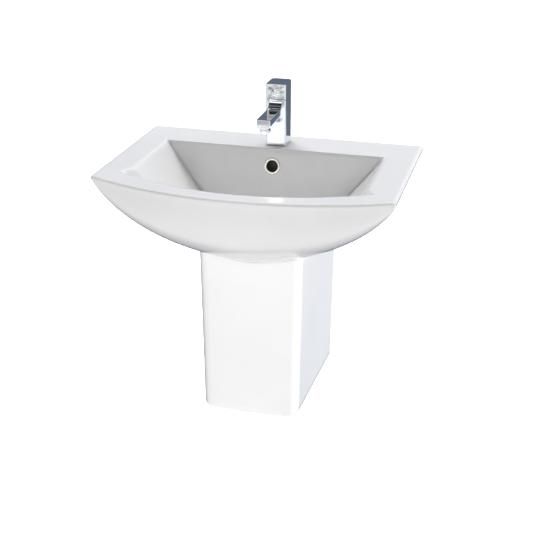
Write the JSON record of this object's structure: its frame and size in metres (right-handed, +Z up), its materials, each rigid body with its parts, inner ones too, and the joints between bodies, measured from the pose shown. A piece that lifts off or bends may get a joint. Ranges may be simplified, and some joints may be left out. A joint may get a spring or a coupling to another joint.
{
  "type": "washbasin",
  "caption": "Wall-hung washbasin with a bowed front and sloping bowl, a semi-pedestal shroud over a bottle trap, and a single-lever mixer tap.",
  "frame": {"origin": "midway between the two wall bolt holes, on the wall plane", "axes": "+X to the user's right, +Y into the wall, +Z up"},
  "size_m": [0.55, 0.396, 0.5995],
  "materials": {
    "glazed_ceramic": "white gloss glaze",
    "chrome": "polished",
    "white_plastic": "moulded, satin",
    "brass": "machined",
    "steel": "zinc plated",
    "rubber": "matt",
    "disc_ceramic": "lapped",
    "sealant": "white silicone"
  },
  "bodies": {
    "fixture": {"basin": "glazed_ceramic", "semi_pedestal": "glazed_ceramic", "pedestal_seal": "sealant", "wall_bushes": "white_plastic", "pedestal_bushes": "white_plastic", "overflow_ring": "chrome", "tap_body": "chrome", "aerator_housing": "chrome", "aerator_insert": "white_plastic", "base_gasket": "rubber", "fixing_stud": "steel", "fixing_washer": "rubber", "fixing_plate": "steel", "fixing_nut": "brass", "cartridge_seal": "rubber", "cartridge_body": "white_plastic", "fixed_disc": "disc_ceramic", "cartridge_nut": "brass", "waste_body": "chrome", "flange_seal": "rubber", "bottom_seal": "rubber", "waste_nut": "brass", "click_sleeve": "brass", "plug_spring": "steel", "trap_inlet_nut": "white_plastic", "trap_inlet_seal": "rubber", "dip_tube": "white_plastic", "trap_neck_nut": "white_plastic", "trap_body": "white_plastic", "trap_cup_seal": "rubber", "trap_cup": "white_plastic", "trap_outlet_nut": "white_plastic", "outlet_pipe": "white_plastic", "wall_rosette": "chrome"},
    "tap_turn": {"turret": "brass", "spindle_pin": "steel"},
    "lever": {"lever": "chrome", "lever_pin": "steel", "grub_screw": "steel"},
    "spindle": {"spindle": "steel"},
    "disc": {"moving_disc": "disc_ceramic"},
    "plug": {"plug_stem": "steel", "plug_cap": "chrome", "plug_seal": "rubber"}
  },
  "joints": [
    {"name": "temperature", "type": "hinge", "parent": "fixture", "child": "tap_turn", "pos_m": [0, -0.05, 0.171], "axis": [0, 0, 1], "range_deg": [-45, 45]},
    {"name": "flow", "type": "hinge", "parent": "tap_turn", "child": "lever", "pos_m": [0, -0.0345, 0.177], "axis": [-1, 0, 0], "range_deg": [0, 20]},
    {"name": "spindle_tilt", "type": "hinge", "parent": "tap_turn", "child": "spindle", "pos_m": [0, -0.05, 0.156], "axis": [-1, 0, 0], "range_deg": [0, 6]},
    {"name": "disc_slide", "type": "slide", "parent": "tap_turn", "child": "disc", "axis": [0, -1, 0], "range_m": [0, 0.0014]},
    {"name": "plug_press", "type": "slide", "parent": "fixture", "child": "plug", "axis": [0, 0, -1], "range_m": [0, 0.006], "stiffness_N_per_m": 400, "springref_m": -0.006, "deforming": ["plug_spring"]}
  ],
  "couplings": [
    {"joint": "spindle_tilt", "follows": "flow", "ratio": 0.29},
    {"joint": "disc_slide", "follows": "flow", "m_per_rad": 0.003915}
  ]
}
